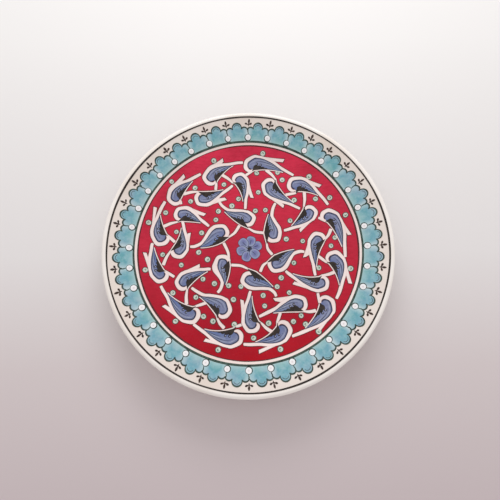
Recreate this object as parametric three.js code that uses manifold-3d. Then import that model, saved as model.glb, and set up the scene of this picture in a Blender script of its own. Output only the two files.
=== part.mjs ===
// Hand painted ceramic plate, 250 mm across: a thrown clay body on a foot ring, its white glaze coat,
// and every area of colour that is laid on the glaze, each as a solid of its own.
// Millimetres, +Z up. The origin is under the middle of the plate, on the surface it stands on.

import * as THREE from 'three';
import { mergeVertices } from 'three/addons/utils/BufferGeometryUtils.js';
import Module from 'manifold-3d';

// ---- driving dimensions, mm and degrees ----
const OUTER_R = 125;
const HEIGHT = 25;
const LIP_R = 3;                 // the rim's edge is a half round of this radius
const FLANK_DEG = 18.4;          // slope of the wide rim
const WELL_Z = 11.7;             // top of the flat well
const FILLET_R = 25;             // between the well and the rim's slope
const GLAZE = 0.5;               // thickness of the white coat
const COAT_GAP = 0.3;            // clearance between the clay and its coat
const PAINT = 0.2;               // thickness of a colour layer
const PAINT_GAP = 0.1;           // clearance under a colour layer
const SECOND_LAYER = PAINT_GAP + PAINT + PAINT_GAP;   // height of paint that lies on the red ground

const FOOT_OUTER_R = 76;
const FOOT_FACE_R = [69.5, 74.5];   // the flat ring that the plate stands on
const FOOT_CHAMFER = 0.8;
const RECESS_R = 67;
const RECESS_Z = 5.2;            // underside of the well, inside the foot ring

const GROUND_R = 95;             // red ground
const INNER_LINE_R = [98.4, 99.9];
const OUTER_LINE_R = [119.35, 120.65];
const BAND_R = 100.3;            // inner edge of the petal band
const PETALS = 36;
const RIM_TURN_DEG = -0.8;       // the band's first seam starts this far from +X
const SCALLOP_R = 110;           // radius at which a petal's width is measured
// A petal's edge is a tall lobe between two low ones: distance to the side of the petal's middle,
// radius of the lobe's centre on the plate, and the lobe's own radius.
const LOBES = [[0, 110.9, 4.1], [6.6, 108, 3.25], [-6.6, 108, 3.25]];
const PETAL_STOPS = [0, 0.07, 0.16, 0.28, 0.3, 0.38, 0.5, 0.62, 0.7, 0.72, 0.84, 0.93];
const FLOWER_AT = [0.6, -0.1];
const FLOWER_R = 8;
const FLOWER_LOBE = 3.3;
const FLOWER_TURN_DEG = 15.5;

const SIDES = 60;                // steps round the axis
const SECTORS = 6;               // the leaf pattern repeats six times
const LIP_STEPS = 6;
const FILLET_STEPS = 2;

// Each kind of leaf: the side its back bulges to (+1 is left of the way from head to tail), the size
// of its curled head, the height of its back along its length as a share of the peak, and six leaves.
// A leaf is its head and tail [x, y, x, y] in the sector's own axes, where the sector's middle is +Y,
// then its back's peak, half the width of its border there, the depth of its hollow side at the head,
// how fast that falls away, and the tip of its hollow side, along and across from the head.
// The painter's hand never put two of them quite alike.
const BACK_AT = [0, 0.1, 0.22, 0.38, 0.6, 0.8, 0.92, 1];
const LEAVES = [
  { name: 'inner', side: -1, head: 1, back: [0.85, 0.98, 1, 0.78, 0.42, 0.2, 0.09, 0], leaves: [
    [0, 28, -21, 35, 4.0, 1.2, 8.6, 1.4, 0.4, -9.0],
    [1.5, 29, -20, 38, 5.0, 1.75, 8.7, 2.0, 0.4, -8.8],
    [1, 26.5, -17.5, 34, 3.9, 2.5, 7.0, 1.7, 0.4, -7.4],
    [0, 28.5, -21, 35, 3.8, 1.6, 9.6, 1.4, 0.4, -9.8],
    [1, 28.5, -19, 36.5, 4.4, 1.9, 7.7, 1.65, 0.4, -8.2],
    [1, 26, -18, 32.5, 4.0, 1.7, 8.7, 1.45, 0.4, -8.8]] },
  { name: 'upright', side: 1, head: 0.95, back: [0.8, 0.95, 1, 0.9, 0.68, 0.36, 0.14, 0], leaves: [
    [-6, 64.5, -3.5, 43, 5.0, 1.4, 7.5, 2.3, 2.0, -7.4],
    [-0.5, 67.5, 0.5, 48, 4.8, 1.9, 7.6, 1.15, 0.4, -8.8],
    [4, 63.5, 1, 40, 5.3, 1.65, 7.5, 1.7, 1.0, -7.6],
    [-1, 66, -2, 41, 5.2, 1.5, 8.2, 1.9, 1.5, -8.8],
    [-3, 70, 1.5, 44, 5.5, 1.5, 7.2, 2.5, 1.5, -7.2],
    [1, 64, 2.5, 43, 4.8, 1.1, 7.8, 1.35, 0.6, -8.6]] },
  { name: 'slanting', side: -1, head: 1, back: [0.8, 0.94, 1, 0.86, 0.6, 0.3, 0.12, 0], leaves: [
    [20, 57.5, 42, 40.5, 6.7, 1.4, 8.0, 2.1, 1.0, -8.8],
    [20, 58, 37, 45.5, 4.8, 1.8, 7.6, 1.3, 0.4, -8.4],
    [29.5, 52.5, 47, 40.5, 5.5, 1.3, 7.5, 1.9, 0.4, -8.0],
    [22, 52.5, 43, 41, 6.7, 1.4, 8.8, 1.5, 1.0, -9.4],
    [21, 61, 39, 45, 5.2, 1.65, 7.3, 1.15, 0.4, -8.2],
    [24.5, 56, 45, 41.5, 5.5, 1.5, 7.0, 2.1, 0.4, -8.0]] },
  { name: 'outer_left', side: 1, head: 1.1, back: [0.74, 0.92, 1, 0.93, 0.65, 0.28, 0.08, 0], leaves: [
    [-33, 68, -12, 79, 5.4, 1.9, 8.2, 1.8, 1.5, -8.8],
    [-29, 73, -11, 84, 5.4, 1.5, 7.0, 1.6, 1.5, -8.6],
    [-24.5, 72, 3, 80, 6.8, 1.3, 8.5, 2.4, 2.0, -8.8],
    [-28, 71.5, -4, 81, 7.3, 1.2, 7.8, 2.6, 2.0, -8.8],
    [-28.5, 71, -9, 85, 6.5, 1.25, 8.2, 2.2, 2.0, -8.8],
    [-29, 68, -9, 80, 6.3, 1.5, 8.2, 2.1, 2.6, -8.6]] },
  { name: 'outer_right', side: 1, head: 1, back: [0.76, 0.92, 1, 0.95, 0.72, 0.38, 0.15, 0], leaves: [
    [4.5, 79, 34, 71, 7.4, 1.1, 6.8, 2.6, 2.0, -7.6],
    [9.5, 81, 31, 75, 5.3, 2.0, 5.8, 1.6, 1.5, -7.6],
    [19.5, 78, 44, 70.5, 5.5, 1.35, 5.9, 2.0, 2.0, -7.6],
    [13, 77, 39, 69, 6.8, 1.25, 10.0, 2.2, 1.5, -9.8],
    [10.5, 82, 38, 75.5, 7.8, 1.05, 6.5, 3.0, 2.4, -7.4],
    [12, 77, 42, 71.5, 7.2, 1.05, 5.7, 3.2, 2.4, -7.4]] },
];
const TAIL_BORDER = 1.4;         // half width of a leaf's border towards its tail

const COLOURS = {
  clay: 0xe6dccb,
  white: 0xf3ede4,
  red: 0xc41a33,
  turquoise: 0x74b9c4,
  blue: 0x5e6fa6,
  violet: 0x7d83bd,
  black: 0x231f1c,
  green: 0x2c463c,
};

// ---- the plate's section ----
const flank = THREE.MathUtils.degToRad(FLANK_DEG);
const lip = new THREE.Vector2(OUTER_R - LIP_R, HEIGHT - LIP_R);
const topTangent = new THREE.Vector2(lip.x - LIP_R * Math.sin(flank), lip.y + LIP_R * Math.cos(flank));
const cornerR = topTangent.x - (topTangent.y - WELL_Z) / Math.tan(flank);
const filletR = cornerR - FILLET_R * Math.tan(flank / 2);    // where the flat well ends
const filletEndR = cornerR + FILLET_R * Math.tan(flank / 2) * Math.cos(flank);

// Points on the top of the plate, moved down into the wall by depth, between two radii.
function topPoints(depth, fromR, toR) {
  const points = [];
  if (fromR < filletR) {
    points.push(new THREE.Vector2(fromR, WELL_Z - depth));
    points.push(new THREE.Vector2(filletR, WELL_Z - depth));
    for (let i = 1; i <= FILLET_STEPS; i++) {
      const a = flank * i / FILLET_STEPS;
      const reach = FILLET_R + depth;
      points.push(new THREE.Vector2(filletR + reach * Math.sin(a), WELL_Z + FILLET_R - reach * Math.cos(a)));
    }
  } else {
    points.push(onFlank(fromR, depth));
  }
  points.push(onFlank(toR, depth));
  return points;
}

function onFlank(r, depth) {
  const z = topTangent.y - (topTangent.x - r) * Math.tan(flank);
  return new THREE.Vector2(r + depth * Math.sin(flank), z - depth * Math.cos(flank));
}

// From the top of the lip round to the foot of the underside, moved into the wall by depth.
function lipAndUnderside(depth) {
  const points = [];
  for (let i = 0; i <= LIP_STEPS; i++) {
    const a = Math.PI / 2 + flank - Math.PI * i / LIP_STEPS;
    const reach = LIP_R - depth;
    points.push(new THREE.Vector2(lip.x + reach * Math.cos(a), lip.y + reach * Math.sin(a)));
  }
  const last = points[points.length - 1];
  const z = last.y - (last.x - FOOT_OUTER_R) * Math.tan(flank);
  points.push(new THREE.Vector2(FOOT_OUTER_R, z));
  return points;
}

function revolve(points) {
  const geometry = new THREE.LatheGeometry(points, SIDES);
  return geometry.rotateX(Math.PI / 2);
}

// ---- layers that are turned on the wheel ----
function clayBody() {
  const depth = GLAZE + COAT_GAP;
  const points = [
    new THREE.Vector2(0, RECESS_Z),
    new THREE.Vector2(RECESS_R, RECESS_Z),
    new THREE.Vector2(FOOT_FACE_R[0] - FOOT_CHAMFER, FOOT_CHAMFER),
    new THREE.Vector2(FOOT_FACE_R[0], 0),
    new THREE.Vector2(FOOT_FACE_R[1], 0),
    new THREE.Vector2(FOOT_FACE_R[1] + FOOT_CHAMFER, FOOT_CHAMFER),
    ...lipAndUnderside(depth).reverse(),
    ...topPoints(depth, 0, filletEndR + 1).slice(0, -1).reverse(),
  ];
  return revolve(points);
}

function glazeCoat() {
  const inside = [...topPoints(GLAZE, 0, filletEndR + 1).slice(0, -1), ...lipAndUnderside(GLAZE)];
  const outside = [...topPoints(0, 0, filletEndR + 1).slice(0, -1), ...lipAndUnderside(0)];
  return revolve([...inside, ...outside.reverse()]);
}

// A layer of paint between two radii, lying clear of what is under it.
function paintRing(fromR, toR, height) {
  const under = topPoints(-height, fromR, toR);
  const over = topPoints(-height - PAINT, fromR, toR);
  const ring = [...under, ...over.reverse()];
  if (fromR > 0) ring.push(ring[0].clone());
  return revolve(ring);
}

// ---- layers with a drawn outline: an upright prism of the outline, cut from a turned layer ----
const wasm = await Module();
wasm.setup();

function solid(geometry) {
  const bare = geometry.clone();
  bare.deleteAttribute('normal');
  bare.deleteAttribute('uv');
  const merged = mergeVertices(bare, 1e-5);
  return new wasm.Manifold(new wasm.Mesh({
    numProp: 3,
    vertProperties: new Float32Array(merged.attributes.position.array),
    triVerts: new Uint32Array(merged.index.array),
  }));
}

function geometryOf(manifold) {
  const mesh = manifold.getMesh();
  const geometry = new THREE.BufferGeometry();
  geometry.setAttribute('position', new THREE.BufferAttribute(mesh.vertProperties, 3));
  geometry.setIndex(new THREE.BufferAttribute(mesh.triVerts, 1));
  return geometry;
}

function prism(outline, hole) {
  const shape = new THREE.Shape(outline);
  if (hole) shape.holes.push(new THREE.Path(hole));
  return solid(new THREE.ExtrudeGeometry(shape, { depth: HEIGHT * 2, bevelEnabled: false }));
}

function circle(r, steps) {
  const points = [];
  for (let i = 0; i < steps; i++) {
    const a = 2 * Math.PI * i / steps;
    points.push(new THREE.Vector2(r * Math.cos(a), r * Math.sin(a)));
  }
  return points;
}

// Radius of a petal's scalloped edge, side mm from the petal's middle.
function petalTop(side) {
  let top = 0;
  for (const [at, centre, r] of LOBES) {
    const rise = r * r - (side - at) * (side - at);
    if (rise >= 0) top = Math.max(top, centre + Math.sqrt(rise));
  }
  return top;
}

function petalBand() {
  const pitch = 2 * Math.PI / PETALS;
  const outline = [];
  for (let i = 0; i < PETALS; i++) {
    for (const stop of PETAL_STOPS) {
      const a = THREE.MathUtils.degToRad(RIM_TURN_DEG) + (i + stop) * pitch;
      const r = petalTop((stop - 0.5) * pitch * SCALLOP_R);
      outline.push(new THREE.Vector2(r * Math.cos(a), r * Math.sin(a)));
    }
  }
  const layer = solid(paintRing(BAND_R, OUTER_LINE_R[0], PAINT_GAP));
  return geometryOf(layer.intersect(prism(outline, circle(BAND_R + 0.4, SIDES))));
}

function centreFlower() {
  const steps = SECTORS * 8;
  const outline = circle(1, steps).map((p, i) => {
    const lobe = Math.abs(Math.cos(Math.PI * SECTORS * i / steps));
    return p.multiplyScalar(FLOWER_R + FLOWER_LOBE * lobe);
  });
  const shape = new THREE.Shape(outline);
  const geometry = new THREE.ExtrudeGeometry(shape, { depth: PAINT, bevelEnabled: false });
  geometry.rotateZ(THREE.MathUtils.degToRad(FLOWER_TURN_DEG));
  return geometry.translate(...FLOWER_AT, WELL_Z + SECOND_LAYER);
}

function backShare(kind, t) {
  let i = 1;
  while (i < BACK_AT.length - 1 && BACK_AT[i] < t) i++;
  const part = (t - BACK_AT[i - 1]) / (BACK_AT[i] - BACK_AT[i - 1]);
  return THREE.MathUtils.lerp(kind.back[i - 1], kind.back[i], part);
}

// Outline of a leaf in its own axes: the head is at 0, 0, the tail's tip at length, 0, and the back
// bulges to +v. The head's size stays the same however long the leaf is.
function leafOutline(length, kind, [peak, border, depth, power, ...tip]) {
  const round = (u, v) => new THREE.Vector2(u, v).multiplyScalar(kind.head);
  const over = (t) => {
    const half = THREE.MathUtils.lerp(border, TAIL_BORDER, Math.min(t / 0.6, 1));
    return new THREE.Vector2(t * length, backShare(kind, t) * peak + 2 * half);
  };
  const under = (t) => {
    const fall = kind.name === 'inner' ? 1 - t ** power : (1 - t) ** power;
    return new THREE.Vector2(t * length, -depth * fall - 0.8);
  };
  const back = new THREE.SplineCurve([
    round(-1.2, -8.2), round(-5.4, -5.8), round(-7.1, -1), round(-6.2, 3.4),
    over(0.04), over(0.22), over(0.42), over(0.64), over(0.86), new THREE.Vector2(length + 1, 2.4),
  ]);
  const front = new THREE.SplineCurve([
    new THREE.Vector2(length + 1, -0.4), under(0.84), under(0.7), under(0.5), under(0.3), under(0.16),
    new THREE.Vector2(...tip),
  ]);
  return [...back.getPoints(22), ...front.getPoints(12)];
}

function leaf(kind, [headX, headY, tailX, tailY, ...shape], turn) {
  const head = new THREE.Vector2(headX, headY);
  const way = new THREE.Vector2(tailX, tailY).sub(head);
  const length = way.length();
  const along = way.normalize();
  const across = new THREE.Vector2(-along.y, along.x).multiplyScalar(kind.side);
  const centre = new THREE.Vector2(0, 0);
  const outline = leafOutline(length, kind, shape).map((p) => new THREE.Vector2()
    .copy(head)
    .addScaledVector(along, p.x)
    .addScaledVector(across, p.y)
    .rotateAround(centre, turn));
  return geometryOf(leafLayer.intersect(prism(outline)));
}

// ---- the assembly ----
const plate = new THREE.Group();

function add(name, geometry, colour, roughness) {
  const material = new THREE.MeshStandardMaterial({ color: colour, roughness, metalness: 0 });
  const mesh = new THREE.Mesh(geometry, material);
  mesh.name = name;
  plate.add(mesh);
}

const leafLayer = solid(paintRing(0, GROUND_R - 0.5, SECOND_LAYER));

add('clay_body', clayBody(), COLOURS.clay, 0.9);
add('white_glaze', glazeCoat(), COLOURS.white, 0.25);
add('red_ground', paintRing(0, GROUND_R, PAINT_GAP), COLOURS.red, 0.25);
add('inner_line', paintRing(...INNER_LINE_R, PAINT_GAP), COLOURS.green, 0.25);
add('outer_line', paintRing(...OUTER_LINE_R, PAINT_GAP), COLOURS.black, 0.25);
add('petal_band', petalBand(), COLOURS.turquoise, 0.25);
add('centre_flower', centreFlower(), COLOURS.violet, 0.25);
for (const kind of LEAVES) {
  kind.leaves.forEach((spot, i) => {
    const turn = 2 * Math.PI * i / SECTORS;
    add(`leaf_${kind.name}_${i + 1}`, leaf(kind, spot, turn), COLOURS.blue, 0.25);
  });
}

export default plate;
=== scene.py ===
"""Looks of the hand painted ceramic plate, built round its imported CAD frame.

The plate lies on its foot ring with +Z up. The decoration is a stack of thin paint slabs that
follow the turned top: a red ground, cream stems and leaf borders, blue leaf fills, black line
work, pale dots, and a turquoise petal band. Lengths are in millimetres until a mesh is made.
"""

import math

import bmesh
import bpy
import numpy as np
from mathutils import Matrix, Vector


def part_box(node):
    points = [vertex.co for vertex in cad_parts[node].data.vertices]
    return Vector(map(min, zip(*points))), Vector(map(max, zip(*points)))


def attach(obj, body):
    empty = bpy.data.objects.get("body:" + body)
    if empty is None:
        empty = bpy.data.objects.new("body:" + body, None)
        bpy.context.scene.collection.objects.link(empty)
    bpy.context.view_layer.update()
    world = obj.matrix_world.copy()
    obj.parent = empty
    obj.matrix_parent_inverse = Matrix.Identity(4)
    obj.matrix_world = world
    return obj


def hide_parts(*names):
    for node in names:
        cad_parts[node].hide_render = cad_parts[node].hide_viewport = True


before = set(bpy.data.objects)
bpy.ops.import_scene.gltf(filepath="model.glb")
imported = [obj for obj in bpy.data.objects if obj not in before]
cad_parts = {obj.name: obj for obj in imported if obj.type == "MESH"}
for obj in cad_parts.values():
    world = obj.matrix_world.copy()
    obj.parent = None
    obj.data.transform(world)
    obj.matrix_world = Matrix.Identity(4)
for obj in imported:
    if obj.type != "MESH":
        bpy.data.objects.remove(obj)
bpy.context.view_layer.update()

MM = 0.001

# ---- the turned section; sizes that the frame holds are read from it ----
GLAZE_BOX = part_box("white_glaze")
GROUND_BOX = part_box("red_ground")
CLAY_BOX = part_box("clay_body")
OUTER_R = GLAZE_BOX[1].x / MM
HEIGHT = GLAZE_BOX[1].z / MM
FOOT_Z = CLAY_BOX[0].z / MM
PAINT_GAP = 0.1
WELL_Z = GROUND_BOX[0].z / MM - PAINT_GAP
FLANK = math.radians(18.4)
LIP_R = 3.0
FILLET_R = 25.0
GLAZE = 0.5
UNDER_GLAZE = 0.55               # the clay lies this far under the glaze's face
FOOT_OUTER_R = 76.0
FOOT_FACE_R = (69.5, 74.5)
FOOT_ROUND = 0.8
RECESS_R = 67.0
RECESS_Z = 5.2
BARE_FOOT = 1.7                  # glaze stops this far above the standing face
UNDER_END = 118                  # where the straight underside gives way to the lip

LIP = (OUTER_R - LIP_R, HEIGHT - LIP_R)
TANGENT = (LIP[0] - LIP_R * math.sin(FLANK), LIP[1] + LIP_R * math.cos(FLANK))
CORNER_R = TANGENT[0] - (TANGENT[1] - WELL_Z) / math.tan(FLANK)
FILLET_START = CORNER_R - FILLET_R * math.tan(FLANK / 2)
FILLET_END = CORNER_R + FILLET_R * math.tan(FLANK / 2) * math.cos(FLANK)

# ---- decoration radii ----
GROUND_R = 95.4
GROUND_EDGE = (95.1, 96.1)
INNER_LINE = (98.2, 99.9)
OUTER_LINE = (119.35, 120.65)
PETALS = 36
RIM_TURN = math.radians(-0.8)    # the rim's pattern starts this far from +X
PEARL_AT, PEARL_R = 102.8, 2.4
TREFOIL_AT = 113.2
SECTORS = 6
DOT_R = 2.05
DOT_RIM = 0.62                   # how far a dot's dark rim shows

# ---- heights of the paint layers' faces above the glaze ----
LEVEL_GROUND = 0.12
LEVEL_LINE = 0.16
LEVEL_SHADE = 0.19
LEVEL_CREAM = 0.24
LEVEL_FILL = 0.29
LEVEL_INK = 0.34
LEVEL_TOP = 0.38
SLAB = 0.09                      # thickness of a slab
LEAST_LIFT = 0.01                # a slab's underside stays at least this far above the glaze


def surface(r):
    """Height of the plate's top at radius r."""
    r = np.asarray(r, float)
    fillet = WELL_Z + FILLET_R - np.sqrt(
        np.maximum(FILLET_R ** 2 - np.maximum(r - FILLET_START, 0) ** 2, 0))
    flank = TANGENT[1] - (TANGENT[0] - r) * math.tan(FLANK)
    lip = LIP[1] + np.sqrt(np.maximum(LIP_R ** 2 - (r - LIP[0]) ** 2, 0))
    z = np.where(r <= FILLET_START, WELL_Z, np.where(r <= FILLET_END, fillet, flank))
    return np.where(r > TANGENT[0], lip, z)


# ---- curves ----
def full_turn(count):
    """Evenly spaced angles once round, without the end that meets the start."""
    return np.linspace(0, 2 * math.pi, count, endpoint=False)


def unit(angle):
    """Points on the unit circle at these angles."""
    return np.stack([np.cos(angle), np.sin(angle)], -1)


def spline(points, steps):
    """Smooth curve through points (Catmull-Rom), with steps samples for each span."""
    p = np.array(points, float)
    p = np.vstack([2 * p[0] - p[1], p, 2 * p[-1] - p[-2]])
    t = np.linspace(0, 1, steps, endpoint=False)[:, None]
    spans = []
    for a, b, c, d in zip(p[:-3], p[1:-2], p[2:-1], p[3:]):
        spans.append(0.5 * (2 * b + (c - a) * t + (2 * a - 5 * b + 4 * c - d) * t ** 2
                            + (3 * b - a - 3 * c + d) * t ** 3))
    spans.append(p[-2][None, :])
    return np.vstack(spans)


def resample(points, count):
    """The same line with count points evenly spaced along it."""
    p = np.asarray(points, float)
    gone = np.concatenate([[0], np.cumsum(np.hypot(*np.diff(p[:, :2], axis=0).T))])
    want = np.linspace(0, gone[-1], count)
    return np.stack([np.interp(want, gone, p[:, i]) for i in range(p.shape[1])], 1)


def normals(line):
    """Unit vectors to the left of the way along line."""
    way = np.gradient(line, axis=0)
    way /= np.hypot(way[:, 0], way[:, 1])[:, None] + 1e-9
    return np.stack([-way[:, 1], way[:, 0]], 1)


def ribbon(line, half):
    """Left and right edges of a brush stroke along line; its ends are blunt with round corners."""
    line = np.asarray(line, float)
    half = np.broadcast_to(half, len(line)).astype(float)
    for _ in range(2):
        line, half = line[::-1], half[::-1]
        step, h = line[-1] - line[-2], half[-1]
        way = step / (np.hypot(*step) + 1e-9)
        line = np.vstack([line, [line[-1] + way * h * k for k in (0.25, 0.42, 0.5)]])
        half = np.concatenate([half, [h * k for k in (0.93, 0.74, 0.45)]])
    n = normals(line)
    return line + n * half[:, None], line - n * half[:, None]


def between(left, right, cross):
    """A grid of points from one edge to the other, in cross steps."""
    s = np.linspace(0, 1, cross + 1)
    return left[:, None, :] * (1 - s)[None, :, None] + right[:, None, :] * s[None, :, None]


def wobble(angle, seed, size):
    """A painter's unevenness: a sum of slow waves that closes on itself round the plate."""
    draw = np.random.default_rng(seed)
    total = np.zeros_like(angle)
    for harmonic in (2, 3, 5, 8, 13, 21, 34):
        height = draw.normal() / harmonic ** 0.5
        total += height * np.cos(harmonic * angle + draw.uniform(0, 2 * math.pi))
    return size * total / 1.6


def turned(points, sector):
    """Points of a sector's own axes, turned to the sector's place on the plate."""
    a = 2 * math.pi / SECTORS * sector
    c, s = math.cos(a), math.sin(a)
    return np.asarray(points, float) @ np.array([[c, s], [-s, c]])


# ---- meshes ----
class Paint:
    """Slabs of one colour, joined into one piece. Each carries a paint attribute for its material:
    how far along the stroke a point is, how far across it, and a number drawn for the stroke."""

    def __init__(self, seed=0):
        self.points = []
        self.faces = []
        self.marks = []
        self.count = 0
        self.draw = np.random.default_rng(seed)

    def lay(self, flat, along, dome, level, closed, inner_wall):
        """Adds a slab over a grid of flat points: its face, its underside and its walls."""
        n, m = flat.shape[:2]
        ground = surface(np.hypot(flat[..., 0], flat[..., 1]))
        top = np.dstack([flat, ground + level + dome])
        bottom = np.dstack([flat, ground + max(level - SLAB, LEAST_LIFT)])
        mark = np.dstack([np.broadcast_to(along[:, None], (n, m)),
                          np.broadcast_to(np.linspace(0, 1, m)[None, :], (n, m)),
                          np.full((n, m), self.draw.uniform())]).reshape(-1, 3)
        self.points += [top.reshape(-1, 3), bottom.reshape(-1, 3)]
        self.marks += [mark, mark]
        base, under = self.count, self.count + n * m
        self.count += 2 * n * m
        for i in range(n if closed else n - 1):
            a, b = i * m, (i + 1) % n * m
            for j in range(m - 1):
                self.faces.append((base + a + j, base + a + j + 1, base + b + j + 1, base + b + j))
                self.faces.append((under + a + j, under + b + j, under + b + j + 1, under + a + j + 1))
            if inner_wall:
                self.faces.append((base + a, base + b, under + b, under + a))
            a, b = a + m - 1, b + m - 1
            self.faces.append((base + a, under + a, under + b, base + b))
        if not closed:
            for a, turn in ((0, 1), ((n - 1) * m, -1)):
                for j in range(m - 1):
                    face = (base + a + j, under + a + j, under + a + j + 1, base + a + j + 1)
                    self.faces.append(face[::turn])

    def slab(self, left, right, cross, level, closed=False):
        """Paint between two matched edges, with cross steps from one to the other."""
        flat = between(left, right, cross)
        self.lay(flat, np.linspace(0, 1, len(flat)), 0.0, level, closed, True)

    def stroke(self, line, half, level, cross=2):
        self.slab(*ribbon(line, half), cross, level)

    def disc(self, centre, radius, level, steps=28, rings=4, crown=0.0):
        """A round or star-shaped dab: radius is a number, or one for each step."""
        a = full_turn(steps)
        rim = np.asarray(centre) + unit(a) * np.broadcast_to(radius, steps)[:, None]
        middle = np.broadcast_to(np.asarray(centre, float), rim.shape)
        dome = crown * (1 - np.linspace(0, 1, rings + 1) ** 2)[None, :]
        self.lay(between(middle, rim, rings), a / (2 * math.pi), dome, level, True, False)

    def piece(self, name, material, nodes=()):
        mesh_piece(name, np.vstack(self.points), self.faces, material, nodes, np.vstack(self.marks))


SHARP = math.radians(35)         # faces that meet at more than this show an edge


def mesh_piece(name, points, faces, material, nodes=(), marks=None):
    """One piece, made from points in mm, which rides on the plate's only body."""
    mesh = bpy.data.meshes.new(name)
    mesh.from_pydata((np.asarray(points) * MM).tolist(), [], faces)
    if marks is not None:
        mesh.attributes.new("paint", "FLOAT_VECTOR", "POINT").data.foreach_set(
            "vector", np.asarray(marks, np.float32).ravel())
    bm = bmesh.new()
    bm.from_mesh(mesh)
    bmesh.ops.remove_doubles(bm, verts=bm.verts, dist=2e-7)
    bmesh.ops.dissolve_degenerate(bm, edges=bm.edges, dist=1e-7)
    bmesh.ops.recalc_face_normals(bm, faces=bm.faces)
    bm.to_mesh(mesh)
    bm.free()
    mesh.shade_smooth()
    mesh.set_sharp_from_angle(angle=SHARP)
    mesh.materials.append(material)
    piece = bpy.data.objects.new(name, mesh)
    bpy.context.scene.collection.objects.link(piece)
    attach(piece, "root")
    if nodes:
        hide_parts(*nodes)


TURN_STEPS = 288


def revolve(section):
    """A closed section of (r, z) points turned round the axis."""
    section = np.asarray(section, float)
    a = full_turn(TURN_STEPS)
    m = len(section)
    points = np.stack([np.outer(np.cos(a), section[:, 0]), np.outer(np.sin(a), section[:, 0]),
                       np.broadcast_to(section[:, 1], (TURN_STEPS, m))], 2)
    faces = []
    for i in range(TURN_STEPS):
        a, b = i * m, (i + 1) % TURN_STEPS * m
        for j in range(m):
            k = (j + 1) % m
            faces.append((a + j, a + k, b + k, b + j))
    return points.reshape(-1, 3), faces


# ---- materials ----
def linear(hexcode):
    """Linear colour of an sRGB hex code."""
    parts = [int(hexcode[i:i + 2], 16) / 255 for i in (0, 2, 4)]
    return [c / 12.92 if c <= 0.04045 else ((c + 0.055) / 1.055) ** 2.4 for c in parts] + [1.0]


class Look:
    """A node material built up step by step round one Principled shader."""

    def __init__(self, name, slot):
        self.material = bpy.data.materials.new(name)
        self.material.use_nodes = True
        self.material["slot"] = slot
        self.tree = self.material.node_tree
        self.shader = self.tree.nodes["Principled BSDF"]
        self.where = self.add("ShaderNodeTexCoord").outputs["Object"]

    def add(self, kind, **values):
        node = self.tree.nodes.new(kind)
        for key, value in values.items():
            setattr(node, key, value)
        return node

    def feed(self, value, target):
        """Links a socket into target, or sets a plain value on it."""
        if isinstance(value, bpy.types.NodeSocket):
            self.tree.links.new(value, target)
        else:
            target.default_value = value

    def split(self, vector):
        """The three parts of a vector."""
        node = self.add("ShaderNodeSeparateXYZ")
        self.feed(vector, node.inputs[0])
        return node.outputs

    def noise(self, scale, detail=3.0, rough=0.5, stretch=None):
        where = self.where
        if stretch:
            mapping = self.add("ShaderNodeMapping")
            self.feed(stretch, mapping.inputs["Scale"])
            self.feed(where, mapping.inputs["Vector"])
            where = mapping.outputs["Vector"]
        node = self.add("ShaderNodeTexNoise")
        for name, value in (("Scale", scale), ("Detail", detail), ("Roughness", rough),
                            ("Vector", where)):
            self.feed(value, node.inputs[name])
        return node.outputs["Fac"]

    def ramp(self, source, *stops):
        """Colour ramp; each stop is (place, hex colour)."""
        node = self.add("ShaderNodeValToRGB")
        spare = node.color_ramp.elements
        while len(spare) < len(stops):
            spare.new(0.5)
        for element, (place, colour) in zip(spare, stops):
            element.position = place
            element.color = linear(colour)
        self.feed(source, node.inputs["Fac"])
        return node.outputs["Color"]

    def mix(self, amount, a, b, blend="MIX"):
        """Mix of two colours; amount, a and b are sockets or plain values."""
        node = self.add("ShaderNodeMix", data_type="RGBA", blend_type=blend)
        for value, at in ((amount, 0), (a, 6), (b, 7)):
            self.feed(value, node.inputs[at])
        return node.outputs[2]

    def span(self, source, low, high, out_low=0.0, out_high=1.0):
        node = self.add("ShaderNodeMapRange")
        for value, socket in zip((source, low, high, out_low, out_high), node.inputs[:5]):
            self.feed(value, socket)
        return node.outputs[0]

    def math(self, kind, a, b=0.5):
        node = self.add("ShaderNodeMath", operation=kind)
        self.feed(a, node.inputs[0])
        self.feed(b, node.inputs[1])
        return node.outputs[0]

    def radius(self):
        """Distance from the plate's axis, m."""
        flat = self.add("ShaderNodeVectorMath", operation="MULTIPLY")
        self.feed(self.where, flat.inputs[0])
        self.feed((1, 1, 0), flat.inputs[1])
        far = self.add("ShaderNodeVectorMath", operation="LENGTH")
        self.feed(flat.outputs[0], far.inputs[0])
        return far.outputs["Value"]

    def paint(self):
        """The paint attribute's parts: along, across, and the stroke's own number."""
        node = self.add("ShaderNodeAttribute", attribute_name="paint")
        return self.split(node.outputs["Vector"])

    def finish(self, colour, rough, bump_source=None, bump=0.0, distance=0.00004):
        self.feed(colour, self.shader.inputs["Base Color"])
        self.feed(rough, self.shader.inputs["Roughness"])
        if bump_source is not None:
            node = self.add("ShaderNodeBump")
            self.feed(bump, node.inputs["Strength"])
            self.feed(distance, node.inputs["Distance"])
            self.feed(bump_source, node.inputs["Height"])
            self.feed(node.outputs["Normal"], self.shader.inputs["Normal"])
        return self.material


def gloss(look, specular=0.3, coat=0.15):
    """The clear glaze's shine over a colour."""
    look.shader.inputs["Specular IOR Level"].default_value = specular
    look.shader.inputs["Coat Weight"].default_value = coat
    look.shader.inputs["Coat Roughness"].default_value = 0.12


def glazed(look, colour, rough=(0.16, 0.3), **shine):
    """Ends the look of a wide surface: the glaze on it is slightly uneven and softly rippled."""
    gloss(look, **shine)
    sheen = look.span(look.noise(90, 2), 0.3, 0.7, *rough)
    ripple = look.noise(420, 2, 0.5)
    return look.finish(colour, sheen, ripple, 0.25)


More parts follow.
